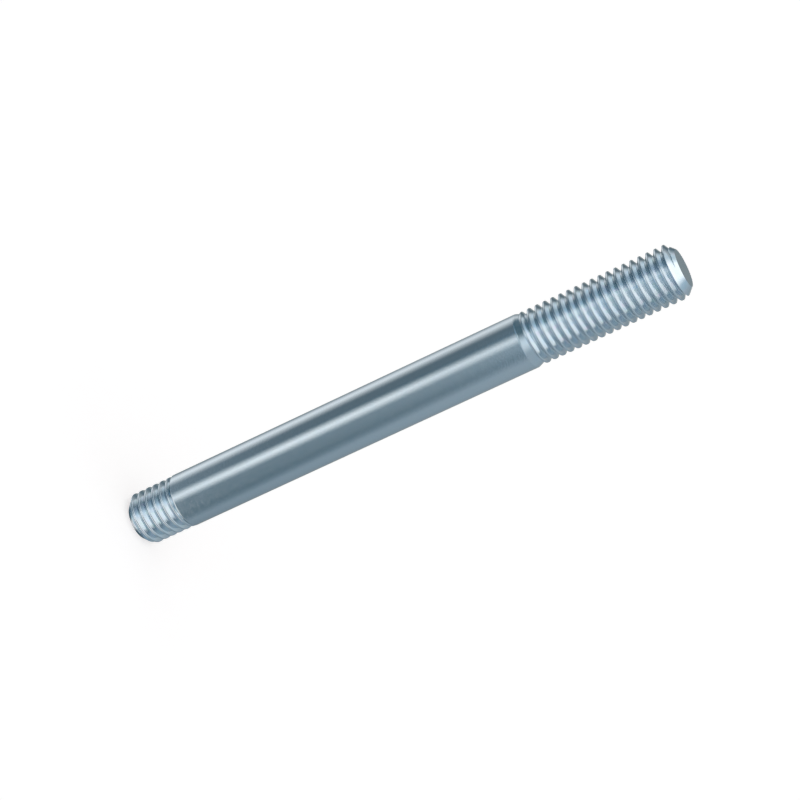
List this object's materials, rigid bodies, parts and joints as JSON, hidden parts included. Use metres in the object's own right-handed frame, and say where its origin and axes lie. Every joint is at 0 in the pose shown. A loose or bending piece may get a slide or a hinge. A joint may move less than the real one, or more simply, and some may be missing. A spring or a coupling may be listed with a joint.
{
  "type": "stud bolt",
  "caption": "Double-end stud bolt: a plain round shank with a short metal-end thread, a long nut-end thread, conical run-outs and chamfered ends, in zinc-plated steel.",
  "frame": {"origin": "centre of the flat end face of the short metal end, on the stud's axis", "axes": "+Z runs along the stud's axis from the short metal end up to the long nut end; +X points to where the nut-end thread's crest meets its end face"},
  "size_m": [0.01, 0.01, 0.11],
  "materials": {
    "zinc_plated_steel": "bright zinc plating with a clear blue passivation, smooth and slightly satin"
  },
  "bodies": {
    "root": {"stud_bolt": "zinc_plated_steel"}
  },
  "joints": []
}
